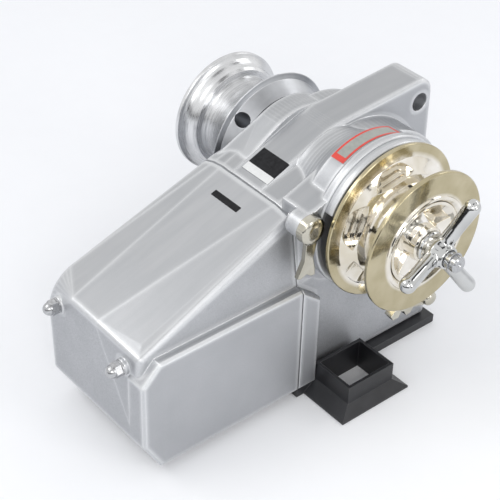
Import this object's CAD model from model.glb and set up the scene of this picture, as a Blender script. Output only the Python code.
"""Looks of a horizontal anchor windlass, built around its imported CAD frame.

Everything is in the frame of the CAD model: Z up, X along the main shaft towards the chain wheel,
-Y towards the motor nose. Lengths are in metres, and in millimetres where a comment says so.
"""

import math

import bmesh
import bpy
from mathutils import Matrix, Vector


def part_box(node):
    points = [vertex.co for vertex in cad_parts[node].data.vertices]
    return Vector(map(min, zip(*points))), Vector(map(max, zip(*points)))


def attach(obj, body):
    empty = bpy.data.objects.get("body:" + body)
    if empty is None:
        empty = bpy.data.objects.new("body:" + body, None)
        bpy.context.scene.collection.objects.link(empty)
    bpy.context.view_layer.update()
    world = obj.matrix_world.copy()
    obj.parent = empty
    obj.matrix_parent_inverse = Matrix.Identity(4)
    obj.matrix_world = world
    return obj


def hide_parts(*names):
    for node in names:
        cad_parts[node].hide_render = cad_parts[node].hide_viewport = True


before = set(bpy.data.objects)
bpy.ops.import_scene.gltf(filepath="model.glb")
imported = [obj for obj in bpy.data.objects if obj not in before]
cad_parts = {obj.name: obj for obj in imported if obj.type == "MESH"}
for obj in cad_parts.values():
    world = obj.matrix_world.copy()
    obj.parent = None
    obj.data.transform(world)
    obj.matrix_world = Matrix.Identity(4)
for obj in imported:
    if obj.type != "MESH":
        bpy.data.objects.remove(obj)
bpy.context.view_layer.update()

MM = 0.001

# Camera, from a fit to the outline of the object in the photograph
CAM_POS = Vector((0.8001, -0.7610, 0.9211))
CAM_AZIMUTH = math.radians(49.743)
CAM_ELEVATION = math.radians(37.09)
CAM_ROLL = math.radians(1.485)
CAM_LENS = 100.70
CAM_SENSOR = 36.0
CAM_CLIP_END = 20.0

# Height of the main shaft
SHAFT_H = 182 * MM

# Drum: where its lever band starts along X, and over what length the polish fades into it
DRUM_BAND_X = -80 * MM
DRUM_BAND_FADE = 3 * MM

# Chain wheel: depth of the warm tone behind the outer face, and over what length it fades in
WHEEL_FACE = 8.5 * MM
WHEEL_FACE_FADE = 2 * MM
# Radii where the warm tone starts and where it is full, on that face and anywhere on the wheel
WARM_FACE_R = (47 * MM, 50 * MM)
WARM_RIM_R = (66 * MM, 70 * MM)

# Lip on the wheel boss, in millimetres: corners of its section as (x, r)
BOSS_LIP = (
    (82.3, 68.0), (82.3, 75.2), (87.0, 75.6), (90.0, 75.2), (90.9, 74.4), (91.2, 73.4), (91.2, 68.0)
)
# Where the lip starts and ends, in degrees about the shaft from +Y, and its faces on the way
LIP_ARC = (222.0, 516.0)
LIP_STEPS = 120

# Clutch nut, in millimetres: sections of the hub (x, r) and of an arm (distance from the shaft, r)
NUT_HUB = (
    (146.0, 15.2), (148.6, 15.2), (149.6, 13.8), (154.0, 15.2), (160.0, 14.8), (166.0, 11.8),
    (171.0, 10.4)
)
NUT_BORE = 8.3
NUT_ARM = ((9.4, 8.2), (16.0, 7.4), (28.0, 7.1), (42.0, 7.4), (52.5, 7.7))
NUT_ARM_X = 157.0
NUT_ARM_COUNT = 3
NUT_ARM_TILT = math.radians(15.5)
NUT_ARM_TURN = math.radians(65.0)
# Rings of an arm's round end, in degrees from its widest section
NUT_DOME = range(12, 90, 12)
# Faces around the hub and the arms, and how these melt into one casting
NUT_STEPS = 56
NUT_VOXEL = 0.6 * MM
NUT_SMOOTHING = 14

# Bare plates, in millimetres: the corners of the two on the top, and x and degrees about the shaft
# of the one on the wheel boss
LUG_LABEL = ((-22, -77), (14, -77), (14, -51), (-22, -51))
COVER_LABEL = ((-21, -114), (15, -114), (15, -108), (-21, -108))
BOSS_LABEL_X = (54.5, 70.5)
BOSS_LABEL_ARC = (122.0, 64.0)
# Share of the lug plate that is its white band
LUG_BAND = 0.25
# The boss plate inside its border, as shares of its arc and of its width
GREY_U = (0.06, 0.93)
GREY_V = (0.14, 0.85)
# How far the plates stand out of the casting and sink into it
PLATE_LIFT = 0.45 * MM
PLATE_SINK = 0.2 * MM
# Starts of the rays that find the casting: height over the top, and distance from the shaft
RAY_HEIGHT = 300 * MM
RAY_REACH = 120 * MM

# Most values of a noise texture lie between these two
NOISE_RANGE = (0.3, 0.7)
# Dot of a rounded normal and the surface's own: where a worn edge starts and where it is full,
# and the same for the shallow creases of the castings
EDGE_DOT = (0.995, 0.90)
CREASE_DOT = (0.99985, 0.9982)
# Z of the normal where a casting's blasted sides end and where its brushed top is full
TOP_SLOPE = (0.55, 0.85)
# Scale of the swell under the plated finishes
SWELL_SCALE = 42

# Tones, darkest and lightest, in linear RGB
BRUSHED = ((0.448, 0.458, 0.473), (0.505, 0.512, 0.525))
BLASTED = ((0.38, 0.388, 0.405), (0.58, 0.59, 0.61))
MACHINED = ((0.34, 0.345, 0.36), (0.46, 0.465, 0.48))
POLISHED = ((0.58, 0.585, 0.595), (0.76, 0.765, 0.775))
LEVER_BAND = ((0.38, 0.39, 0.41), (0.54, 0.55, 0.57))
PALE_WHEEL = ((0.68, 0.63, 0.52), (0.90, 0.87, 0.82))
WARM_WHEEL = ((0.44, 0.385, 0.245), (0.54, 0.48, 0.33))
PALE_PLATE = ((0.47, 0.445, 0.37), (0.62, 0.60, 0.53))
BRIGHT_PLATE = ((0.50, 0.505, 0.50), (0.62, 0.625, 0.62))
PLASTIC = ((0.012, 0.012, 0.014), (0.035, 0.036, 0.04))
RUBBER = ((0.015, 0.015, 0.016), (0.03, 0.03, 0.03))
GASKET = ((0.20, 0.205, 0.21), (0.27, 0.275, 0.28))
BLACK_LABEL = ((0.012, 0.012, 0.013), (0.025, 0.025, 0.027))
WHITE_LABEL = ((0.74, 0.74, 0.72), (0.82, 0.82, 0.8))
GREY_LABEL = ((0.31, 0.32, 0.29), (0.40, 0.41, 0.37))
RED_LABEL = ((0.66, 0.05, 0.035), (0.76, 0.07, 0.05))
FLOOR = ((0.97, 0.97, 0.97), (0.99, 0.99, 0.99))
CARD = ((0.02, 0.02, 0.02), (0.03, 0.03, 0.03))
# Tones of wear, in linear RGB
CAST_STAIN = (0.38, 0.39, 0.41)
CAST_EDGE = (0.80, 0.81, 0.82)
BRIGHT_EDGE = (0.84, 0.85, 0.86)
PLASTIC_EDGE = (0.10, 0.10, 0.105)

# Metals and paint of one tone: tones, roughness, how metallic, and the CAD nodes that wear them
PLAIN_METALS = {
    "stainless_steel": (
        (0.40, 0.405, 0.415), (0.55, 0.555, 0.565), 0.2, 1.0,
        ("side_cover_screws", "cover_studs", "cover_washers", "acorn_nuts", "base_screws",
         "main_shaft", "drum_washer", "drum_screw", "end_circlip", "pawl_pin",
         "motor_flange_screws")),
    "ground_steel": (
        (0.24, 0.25, 0.26), (0.34, 0.345, 0.355), 0.32, 1.0,
        ("worm_shaft", "spur_gear", "motor_pinion", "drum_key", "cone_keys", "wheel_key",
         "shaft_bearings", "worm_bearings", "motor_bearings", "motor_magnets")),
    "bronze": (
        (0.50, 0.33, 0.14), (0.66, 0.47, 0.24), 0.3, 1.0,
        ("worm_wheel", "inner_cone")),
    "copper": (
        (0.60, 0.28, 0.14), (0.78, 0.42, 0.26), 0.35, 1.0,
        ("armature", "commutator", "motor_terminals")),
    "zinc_plate": (
        (0.34, 0.345, 0.36), (0.46, 0.465, 0.48), 0.36, 1.0,
        ("worm_end_cap", "stripper_spacer")),
    "black_paint": (
        (0.014, 0.014, 0.016), (0.028, 0.028, 0.03), 0.4, 0.0,
        ("motor_yoke",)),
}

# Floor: side, and how far it lies below the object
FLOOR_SIDE = 12.0
FLOOR_DROP = 0.4 * MM
# World: colour and strength of its light, and of the surround that the camera and mirrors see
WORLD_LIGHT = ((0.93, 0.95, 1.0), 0.75)
WORLD_SEEN = ((1.0, 1.0, 1.0), 1.0)
# Where lamps and cards point
CENTRE = (0.0, -0.06, 0.12)
# Soft lamps: name, place, width and height, watts
LAMPS = (
    ("front", (1.5, -1.2, 1.3), (0.9, 0.7), 11.0),
    ("key", (-0.7, -1.2, 1.7), (1.1, 0.8), 8.0),
    ("back", (0.3, 1.7, 1.3), (1.2, 0.5), 4.0),
    ("side", (1.9, 0.3, 0.9), (0.5, 1.2), 6.0),
)
# Dark cards: name, place, width and height
CARDS = (
    ("card_front", (1.3, -1.5, 0.35), (1.5, 0.5)),
    ("card_side", (2.2, 0.1, 0.55), (0.5, 1.1)),
    ("card_above", (0.5, 0.1, 2.2), (0.9, 0.5)),
    ("card_behind_camera", (1.05, -1.15, 1.45), (0.35, 0.35)),
    ("card_low", (0.0, -2.0, 0.22), (1.6, 0.4)),
    ("card_back", (0.45, 1.35, 1.65), (0.8, 0.4)),
)


def camera():
    """The photograph's camera."""
    sin_a, cos_a = math.sin(CAM_AZIMUTH), math.cos(CAM_AZIMUTH)
    sin_e, cos_e = math.sin(CAM_ELEVATION), math.cos(CAM_ELEVATION)
    back = Vector((sin_a * cos_e, -cos_a * cos_e, sin_e))
    level = Vector((cos_a, sin_a, 0.0))
    upright = back.cross(level)
    right = level * math.cos(CAM_ROLL) + upright * math.sin(CAM_ROLL)
    up = upright * math.cos(CAM_ROLL) - level * math.sin(CAM_ROLL)
    data = bpy.data.cameras.new("camera")
    data.lens = CAM_LENS
    data.sensor_width = CAM_SENSOR
    data.clip_end = CAM_CLIP_END
    obj = bpy.data.objects.new("camera", data)
    bpy.context.scene.collection.objects.link(obj)
    turn = Matrix((right, up, back)).transposed().to_4x4()
    obj.matrix_world = Matrix.Translation(CAM_POS) @ turn
    bpy.context.scene.camera = obj


class Nodes:
    """Short ways to build a material's node tree."""

    def __init__(self, name):
        self.mat = bpy.data.materials.new(name)
        self.mat.use_nodes = True
        self.tree = self.mat.node_tree
        self.tree.nodes.clear()
        out = self.add("ShaderNodeOutputMaterial")
        self.bsdf = self.add("ShaderNodeBsdfPrincipled")
        self.link(self.bsdf.outputs[0], out.inputs["Surface"])
        self.coord = self.add("ShaderNodeTexCoord").outputs["Object"]

    def add(self, kind, **settings):
        node = self.tree.nodes.new(kind)
        for key, value in settings.items():
            setattr(node, key, value)
        return node

    def link(self, source, target):
        self.tree.links.new(source, target)

    def feed(self, socket, value):
        """Gives a socket a number, a colour, or what another socket says."""
        if isinstance(value, tuple):
            socket.default_value = (*value, 1.0)
        elif isinstance(value, (int, float)):
            socket.default_value = value
        else:
            self.link(value, socket)

    def mapped(self, scale, shift=(0.0, 0.0, 0.0)):
        """Object coordinates, scaled and then shifted."""
        node = self.add("ShaderNodeMapping")
        self.link(self.coord, node.inputs["Vector"])
        node.inputs["Scale"].default_value = scale
        node.inputs["Location"].default_value = shift
        return node.outputs[0]

    def component(self, vector, letter):
        """X, Y or Z of a vector."""
        node = self.add("ShaderNodeSeparateXYZ")
        self.link(vector, node.inputs[0])
        return node.outputs[letter]

    def noise(self, scale, detail=2.0, stretch=(1.0, 1.0, 1.0), rough=0.55):
        """Noise in the object's space, with about scale waves to a metre."""
        node = self.add("ShaderNodeTexNoise")
        node.inputs["Scale"].default_value = scale
        node.inputs["Detail"].default_value = detail
        node.inputs["Roughness"].default_value = rough
        self.link(self.mapped(stretch), node.inputs["Vector"])
        return node.outputs["Fac"]

    def remap(self, value, low, high, to_low=0.0, to_high=1.0):
        """A value, stretched from one range to another and kept within it."""
        node = self.add("ShaderNodeMapRange")
        self.link(value, node.inputs["Value"])
        ends = {"From Min": low, "From Max": high, "To Min": to_low, "To Max": to_high}
        for key, number in ends.items():
            node.inputs[key].default_value = number
        return node.outputs[0]

    def spread(self, noise, to_low=0.0, to_high=1.0):
        """A noise, stretched from its usual range to another."""
        return self.remap(noise, *NOISE_RANGE, to_low, to_high)

    def math(self, kind, a, b):
        node = self.add("ShaderNodeMath", operation=kind)
        self.feed(node.inputs[0], a)
        self.feed(node.inputs[1], b)
        return node.outputs[0]

    def mix(self, fac, a, b):
        """Mix of two colours, given as numbers or as sockets."""
        node = self.add("ShaderNodeMix", data_type="RGBA")
        self.link(fac, node.inputs["Factor"])
        self.feed(node.inputs[6], a)
        self.feed(node.inputs[7], b)
        return node.outputs[2]

    def worn(self, tone, mask, share, colour):
        """A tone that turns to a colour where a mask is 1, by a share."""
        return self.mix(self.math("MULTIPLY", mask, share), tone, colour)

    def bump(self, height, distance, strength, normal=None):
        """Normal bent by a height, which stands for a distance where it is 1."""
        node = self.add("ShaderNodeBump")
        node.inputs["Distance"].default_value = distance
        node.inputs["Strength"].default_value = strength
        self.link(height, node.inputs["Height"])
        if normal is not None:
            self.link(normal, node.inputs["Normal"])
        return node.outputs[0]

    def bevel(self, radius):
        """Normal that rounds sharp edges."""
        node = self.add("ShaderNodeBevel", samples=6)
        node.inputs["Radius"].default_value = radius
        return node.outputs[0]

    def edges(self, rounded, flat_dot, sharp_dot):
        """Mask that is 1 along edges, where a rounded normal leaves the surface's own."""
        dot = self.add("ShaderNodeVectorMath", operation="DOT_PRODUCT")
        self.link(rounded, dot.inputs[0])
        self.link(self.add("ShaderNodeNewGeometry").outputs["Normal"], dot.inputs[1])
        return self.remap(dot.outputs["Value"], flat_dot, sharp_dot)

    def set(self, **values):
        """Gives the shader's inputs their values, by name."""
        for key, value in values.items():
            self.feed(self.bsdf.inputs[key.replace("_", " ")], value)


def cast_aluminium(name, shade):
    """Casting: brushed on top, blasted and speckled on its sides, with bright edges and creases.

    The brushed tones are taken times shade.
    """
    n = Nodes(name)
    normal = n.bevel(1.8 * MM)
    edge = n.edges(normal, *EDGE_DOT)
    crease = n.edges(n.bevel(6.5 * MM), *CREASE_DOT)
    facing = n.add("ShaderNodeNewGeometry").outputs["Normal"]
    top = n.remap(n.component(facing, "Z"), *TOP_SLOPE)
    speckle = n.noise(1250, detail=3.0, rough=0.7)
    blotch = n.noise(15, detail=3.0)
    streak = n.noise(95, detail=4.0, stretch=(1.0, 0.045, 0.3))
    dark, light = (tuple(level * shade for level in tone) for tone in BRUSHED)
    brushed = n.mix(n.spread(streak), dark, light)
    blasted = n.mix(n.remap(speckle, 0.3, 0.72), *BLASTED)
    tone = n.mix(top, blasted, brushed)
    tone = n.mix(n.remap(blotch, 0.35, 0.7, 0.0, 0.3), tone, CAST_STAIN)
    tone = n.worn(tone, crease, 0.5, BRIGHT_EDGE)
    tone = n.worn(tone, edge, 0.75, CAST_EDGE)
    rough = n.math("ADD", n.remap(top, 0.0, 1.0, 0.52, 0.34), n.spread(blotch, -0.05, 0.08))
    rough = n.math("SUBTRACT", rough, n.math("MULTIPLY", edge, 0.16))
    grain = n.bump(speckle, 0.12 * MM, strength=0.5, normal=normal)
    sag = n.bump(blotch, 0.5 * MM, strength=0.25, normal=grain)
    n.set(Base_Color=tone, Metallic=0.9, Roughness=rough, Normal=sag)
    return n.mat


def machined_aluminium():
    """Milled aluminium, with fine lines along Y."""
    n = Nodes("machined_aluminium")
    lines = n.noise(700, stretch=(1.0, 0.1, 1.0))
    n.set(Base_Color=n.mix(n.spread(lines), *MACHINED), Metallic=1.0)
    n.set(Roughness=n.spread(lines, 0.26, 0.4))
    n.set(Normal=n.bump(lines, 0.05 * MM, strength=0.4, normal=n.bevel(0.6 * MM)))
    return n.mat


def drum_metal():
    """Drum turned on a lathe: fine rings across X, polished but for its lever band."""
    n = Nodes("polished_aluminium")
    normal = n.bevel(0.9 * MM)
    rings = n.noise(1400, stretch=(1.0, 0.0, 0.0))
    cloud = n.noise(35, detail=3.0)
    band = n.remap(n.component(n.coord, "X"), DRUM_BAND_X - DRUM_BAND_FADE, DRUM_BAND_X)
    tone = n.mix(band, n.mix(n.spread(cloud), *POLISHED), n.mix(n.spread(cloud), *LEVER_BAND))
    tone = n.worn(tone, n.edges(normal, *EDGE_DOT), 0.7, BRIGHT_EDGE)
    rough = n.math("ADD", n.spread(rings, 0.17, 0.30), n.spread(cloud, 0.0, 0.05))
    rough = n.math("ADD", rough, n.math("MULTIPLY", band, 0.08))
    turned = n.bump(rings, 0.04 * MM, strength=0.35, normal=normal)
    sag = n.bump(cloud, 0.35 * MM, strength=0.12, normal=turned)
    n.set(Base_Color=tone, Metallic=1.0, Roughness=rough, Normal=sag)
    return n.mat


def plate_finish(n, tone, rough, swell, wave):
    """Surface of a plated casting: fine pits over a gentle swell, wave deep."""
    pits = n.noise(420, detail=3.0)
    swollen = n.bump(swell, wave, strength=0.5, normal=n.bevel(1.0 * MM))
    pitted = n.bump(pits, 0.05 * MM, strength=0.3, normal=swollen)
    rough = n.math("ADD", rough, n.remap(pits, 0.55, 0.8, 0.0, 0.12))
    n.set(Base_Color=tone, Metallic=1.0, Roughness=rough, Normal=pitted)


def plated(name, tones, rough, wave):
    """Plated casting of one tone, with a mirror finish."""
    n = Nodes(name)
    swell = n.noise(SWELL_SCALE)
    plate_finish(n, n.mix(n.spread(swell), *tones), n.spread(swell, *rough), swell, wave)
    return n.mat


def wheel_plate():
    """Plated bronze: warm and satin on the flanges, pale and wavy on the parts between them."""
    n = Nodes("warm_plate")
    face_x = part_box("chain_wheel")[1][0] - WHEEL_FACE
    outside = n.remap(n.component(n.coord, "X"), face_x, face_x + WHEEL_FACE_FADE)
    across = n.mapped((0.0, 1.0, 1.0), (0.0, 0.0, -SHAFT_H))
    reach = n.add("ShaderNodeVectorMath", operation="LENGTH")
    n.link(across, reach.inputs[0])
    radius = reach.outputs["Value"]
    face = n.math("MULTIPLY", outside, n.remap(radius, *WARM_FACE_R))
    warm = n.math("MAXIMUM", face, n.remap(radius, *WARM_RIM_R))
    swell = n.noise(SWELL_SCALE)
    mottle = n.spread(swell)
    tone = n.mix(warm, n.mix(mottle, *PALE_WHEEL), n.mix(mottle, *WARM_WHEEL))
    plate_finish(n, tone, n.remap(warm, 0.0, 1.0, 0.07, 0.15), swell, wave=1.1 * MM)
    return n.mat


def plain_metal(name, dark, light, rough, metallic):
    """Metal or paint of one tone, with a fine grain."""
    n = Nodes(name)
    grain = n.noise(500, detail=3.0)
    n.set(Base_Color=n.mix(n.spread(grain), dark, light), Metallic=metallic)
    n.set(Roughness=n.spread(grain, rough - 0.05, rough + 0.06))
    n.set(Normal=n.bump(grain, 0.04 * MM, strength=0.3, normal=n.bevel(0.4 * MM)))
    return n.mat


def black_plastic():
    """Moulded plastic with a fine grain and dusty, worn edges."""
    n = Nodes("black_moulded_plastic")
    normal = n.bevel(0.9 * MM)
    grain = n.noise(1500)
    dust = n.noise(45, detail=4.0)
    tone = n.mix(n.remap(dust, 0.45, 0.8, 0.0, 0.6), *PLASTIC)
    tone = n.worn(tone, n.edges(normal, *EDGE_DOT), 0.45, PLASTIC_EDGE)
    n.set(Base_Color=tone, Metallic=0.0, Roughness=n.spread(dust, 0.30, 0.48))
    n.set(Normal=n.bump(grain, 0.05 * MM, strength=0.5, normal=normal))
    return n.mat


def rubber():
    """Dull rubber of the seals."""
    n = Nodes("black_rubber")
    grain = n.noise(900, detail=3.0)
    n.set(Base_Color=n.mix(grain, *RUBBER), Metallic=0.0)
    n.set(Roughness=n.spread(grain, 0.6, 0.8), Normal=n.bump(grain, 0.05 * MM, strength=0.5))
    return n.mat


def enamel(name, tones, rough, gloss=0.5):
    """Printed, painted or paper skin."""
    n = Nodes(name)
    grain = n.noise(260, detail=3.0)
    n.set(Base_Color=n.mix(n.spread(grain), *tones), Metallic=0.0, Specular_IOR_Level=gloss)
    n.set(Roughness=n.spread(grain, rough - 0.05, rough + 0.08))
    n.set(Normal=n.bump(grain, 0.03 * MM, strength=0.25))
    return n.mat


def dress(material, *nodes):
    """Gives CAD nodes a material."""
    for name in nodes:
        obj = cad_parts[name]
        obj.data.materials.clear()
        obj.data.materials.append(material)


def dress_all():
    """Gives every CAD node its material, and adds the two pieces that share one with a node."""
    cast = cast_aluminium("cast_housing", shade=0.88)
    dress(cast, "gear_housing")
    boss_lip(cast)
    dress(cast_aluminium("cast_cover", shade=1.0), "motor_cover")
    dress(machined_aluminium(), "side_cover", "motor_flange", "motor_end_cap")
    dress(drum_metal(), "warping_drum")
    dress(wheel_plate(), "chain_wheel", "outer_cone")
    pale = plated("pale_plate", PALE_PLATE, rough=(0.10, 0.2), wave=0.9 * MM)
    dress(pale, "pawl", "chain_stripper", "stripper_bolt")
    chrome = plated("bright_plate", BRIGHT_PLATE, rough=(0.04, 0.09), wave=0.3 * MM)
    dress(chrome, "clutch_nut")
    clutch_nut(chrome)
    for name, (dark, light, rough, metallic, nodes) in PLAIN_METALS.items():
        dress(plain_metal(name, dark, light, rough, metallic), *nodes)
    dress(black_plastic(), "deck_base", "brush_holder")
    dress(rubber(), "shaft_seals")
    dress(enamel("gasket_paper", GASKET, rough=0.8, gloss=0.3), "cover_gasket")


def outward(turn):
    """Unit vector away from the main shaft, at an angle from +Y towards +Z."""
    return Vector((0.0, math.cos(turn), math.sin(turn)))


def bridge(bm, rings, closed=False):
    """Joins rings of vertices into a closed skin, with a cap at each end or round to the first."""
    pairs = list(zip(rings, rings[1:]))
    if closed:
        pairs.append((rings[-1], rings[0]))
    else:
        bm.faces.new(rings[0])
        bm.faces.new(rings[-1])
    for a, b in pairs:
        for k in range(len(a)):
            m = (k + 1) % len(a)
            bm.faces.new((a[k], a[m], b[m], b[k]))


def made(name, bm, *materials):
    """Object from a bmesh, with its faces turned outwards."""
    bmesh.ops.recalc_face_normals(bm, faces=bm.faces)
    mesh = bpy.data.meshes.new(name)
    bm.to_mesh(mesh)
    bm.free()
    for material in materials:
        mesh.materials.append(material)
    obj = bpy.data.objects.new(name, mesh)
    bpy.context.scene.collection.objects.link(obj)
    return obj


def skin(name, node, rays, materials, across, along, band=None):
    """Thin plate of across by along faces that lies on a CAD node.

    rays(u, v) gives the start and direction of the ray that finds each corner, with u the share
    of the way along and v of the way across. Where band(u, v) is true, a face has the second
    material.
    """
    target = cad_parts[node]
    bm = bmesh.new()
    tops, feet = [], []
    for i in range(along + 1):
        for j in range(across + 1):
            start, aim = rays(i / along, j / across)
            aim = aim.normalized()
            found, place, _, _ = target.ray_cast(start, aim)
            if not found:
                raise RuntimeError(name + " misses " + node)
            tops.append(bm.verts.new(place - aim * PLATE_LIFT))
            feet.append(bm.verts.new(place + aim * PLATE_SINK))
    wide = across + 1
    for i in range(along):
        for j in range(across):
            a = i * wide + j
            b, c, d = a + 1, a + wide + 1, a + wide
            face = bm.faces.new((tops[a], tops[b], tops[c], tops[d]))
            if band is not None and band(i / along, j / across):
                face.material_index = 1
            bm.faces.new((feet[d], feet[c], feet[b], feet[a]))
    rim = list(range(wide)) + [i * wide + across for i in range(1, along + 1)]
    rim += [along * wide + j for j in range(across - 1, -1, -1)]
    rim += [i * wide for i in range(along - 1, 0, -1)]
    for a, b in zip(rim, rim[1:] + rim[:1]):
        bm.faces.new((tops[b], tops[a], feet[a], feet[b]))
    obj = made(name, bm, *materials)
    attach(obj, "housing")


def top_rays(corners):
    """Rays straight down over a patch with four corners."""
    a, b, c, d = (Vector((x * MM, y * MM, RAY_HEIGHT)) for x, y in corners)
    down = Vector((0.0, 0.0, -1.0))
    return lambda u, v: ((a * (1 - u) + b * u) * (1 - v) + (d * (1 - u) + c * u) * v, down)


def boss_rays(span, arc):
    """Rays towards the main shaft, over a patch of the turned boss."""
    def ray(u, v):
        out = outward(math.radians(arc[0] + (arc[1] - arc[0]) * u))
        x = (span[0] + (span[1] - span[0]) * v) * MM
        return Vector((x, 0.0, SHAFT_H)) + out * RAY_REACH, -out
    return ray


def on_border(u, v):
    """True on the red border of the boss plate."""
    return not (GREY_U[0] <= u <= GREY_U[1] and GREY_V[0] <= v <= GREY_V[1])


def plates():
    """Bare plates where the object carries its labels."""
    black = enamel("black_plate", BLACK_LABEL, rough=0.45, gloss=0.12)
    white = enamel("white_band", WHITE_LABEL, rough=0.4)
    grey = enamel("grey_plate", GREY_LABEL, rough=0.4)
    red = enamel("red_border", RED_LABEL, rough=0.4)
    skin("lug_plate_label", "gear_housing", top_rays(LUG_LABEL), (black, white),
         across=10, along=16, band=lambda u, v: v < LUG_BAND)
    skin("cover_strip_label", "motor_cover", top_rays(COVER_LABEL), (black,),
         across=4, along=16)
    skin("boss_label", "gear_housing", boss_rays(BOSS_LABEL_X, BOSS_LABEL_ARC), (grey, red),
         across=14, along=40, band=on_border)


def boss_lip(material):
    """Lip that closes most of the gap between the wheel boss and the chain wheel.

    It is open where the pawl swings in.
    """
    bm = bmesh.new()
    start, end = LIP_ARC
    rings = []
    for k in range(LIP_STEPS + 1):
        out = outward(math.radians(start + (end - start) * k / LIP_STEPS))
        corners = (Vector((x * MM, 0.0, SHAFT_H)) + out * r * MM for x, r in BOSS_LIP)
        rings.append([bm.verts.new(corner) for corner in corners])
    bridge(bm, rings)
    obj = made("boss_lip", bm, material)
    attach(obj, "housing")


def lathe(bm, profile, place, closed=False):
    """Skin turned about local X from (x, r) in millimetres, which place takes to the frame."""
    turns = [2.0 * math.pi * k / NUT_STEPS for k in range(NUT_STEPS)]
    rings = []
    for x, r in profile:
        ring = (Vector((x * MM, r * MM * math.cos(t), r * MM * math.sin(t))) for t in turns)
        rings.append([bm.verts.new(place @ corner) for corner in ring])
    bridge(bm, rings, closed)


def clutch_nut(material):
    """Three-arm nut: fat arms with rounded ends, blended into the hub."""
    bm = bmesh.new()
    hub = [(NUT_HUB[0][0], NUT_BORE), *NUT_HUB, (NUT_HUB[-1][0], NUT_BORE)]
    lathe(bm, hub, Matrix.Translation((0.0, 0.0, SHAFT_H)), closed=True)
    end_x, end_r = NUT_ARM[-1]
    bends = [math.radians(degrees) for degrees in NUT_DOME]
    dome = [(end_x + end_r * math.sin(bend), end_r * math.cos(bend)) for bend in bends]
    root = Matrix.Translation((NUT_ARM_X * MM, 0.0, SHAFT_H))
    forward = Vector((1.0, 0.0, 0.0))
    for k in range(NUT_ARM_COUNT):
        out = outward(NUT_ARM_TURN + math.radians(360.0 * k / NUT_ARM_COUNT))
        axis = out * math.cos(NUT_ARM_TILT) + forward * math.sin(NUT_ARM_TILT)
        side = axis.cross(forward).normalized()
        spin = Matrix((axis, side, axis.cross(side))).transposed().to_4x4()
        lathe(bm, [*NUT_ARM, *dome], root @ spin)
    obj = made("clutch_nut_star", bm)
    bpy.context.view_layer.objects.active = obj
    voxel = obj.modifiers.new("remesh", "REMESH")
    voxel.mode = "VOXEL"
    voxel.voxel_size = NUT_VOXEL
    voxel.use_smooth_shade = True
    blend = obj.modifiers.new("blend", "SMOOTH")
    blend.factor = 0.5
    blend.iterations = NUT_SMOOTHING
    for name in ("remesh", "blend"):
        bpy.ops.object.modifier_apply(modifier=name)
    obj.data.materials.clear()
    obj.data.materials.append(material)
    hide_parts("clutch_nut")
    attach(obj, "nut")


def stage():
    """Pale floor and white surround."""
    bpy.context.scene.view_settings.view_transform = "Standard"
    bpy.ops.mesh.primitive_plane_add(size=FLOOR_SIDE, location=(0.0, 0.0, -FLOOR_DROP))
    floor = bpy.context.object
    floor.name = "floor"
    n = Nodes("pale_floor")
    n.set(Base_Color=n.mix(n.noise(30), *FLOOR), Roughness=0.9, Metallic=0.0)
    floor.data.materials.append(n.mat)
    surround()


def surround():
    """World that lights the scene with one background and shows another."""
    world = bpy.data.worlds.new("studio")
    bpy.context.scene.world = world
    world.use_nodes = True
    tree = world.node_tree
    tree.nodes.clear()
    mix = tree.nodes.new("ShaderNodeMixShader")
    path = tree.nodes.new("ShaderNodeLightPath")
    seen = path.outputs["Is Camera Ray"]
    for kind in ("Is Glossy Ray", "Is Transmission Ray"):
        either = tree.nodes.new("ShaderNodeMath")
        either.operation = "MAXIMUM"
        tree.links.new(seen, either.inputs[0])
        tree.links.new(path.outputs[kind], either.inputs[1])
        seen = either.outputs[0]
    tree.links.new(seen, mix.inputs[0])
    for socket, (colour, strength) in zip(mix.inputs[1:], (WORLD_LIGHT, WORLD_SEEN)):
        background = tree.nodes.new("ShaderNodeBackground")
        background.inputs["Color"].default_value = (*colour, 1.0)
        background.inputs["Strength"].default_value = strength
        tree.links.new(background.outputs[0], socket)
    out = tree.nodes.new("ShaderNodeOutputWorld")
    tree.links.new(mix.outputs[0], out.inputs["Surface"])


def facing_centre(place):
    """Rotation that turns an object at place towards the middle of the windlass."""
    return (Vector(CENTRE) - Vector(place)).to_track_quat("-Z", "Y").to_euler()


def lamp(name, place, size, watts):
    """Soft white lamp."""
    data = bpy.data.lights.new(name, "AREA")
    data.shape = "RECTANGLE"
    data.size, data.size_y = size
    data.energy = watts
    obj = bpy.data.objects.new(name, data)
    bpy.context.scene.collection.objects.link(obj)
    obj.location = place
    obj.rotation_euler = facing_centre(place)


def card(name, place, size):
    """Dark card, seen only in reflections, which gives the bright metals something to show."""
    bpy.ops.mesh.primitive_plane_add(size=1.0, location=place)
    obj = bpy.context.object
    obj.name = name
    obj.scale = (*size, 1.0)
    obj.rotation_euler = facing_centre(place)
    for use in ("visible_camera", "visible_diffuse", "visible_shadow", "visible_transmission"):
        setattr(obj, use, False)
    obj.data.materials.append(enamel(name + "_cloth", CARD, rough=0.9))


camera()
stage()
for row in LAMPS:
    lamp(*row)
for row in CARDS:
    card(*row)
dress_all()
plates()
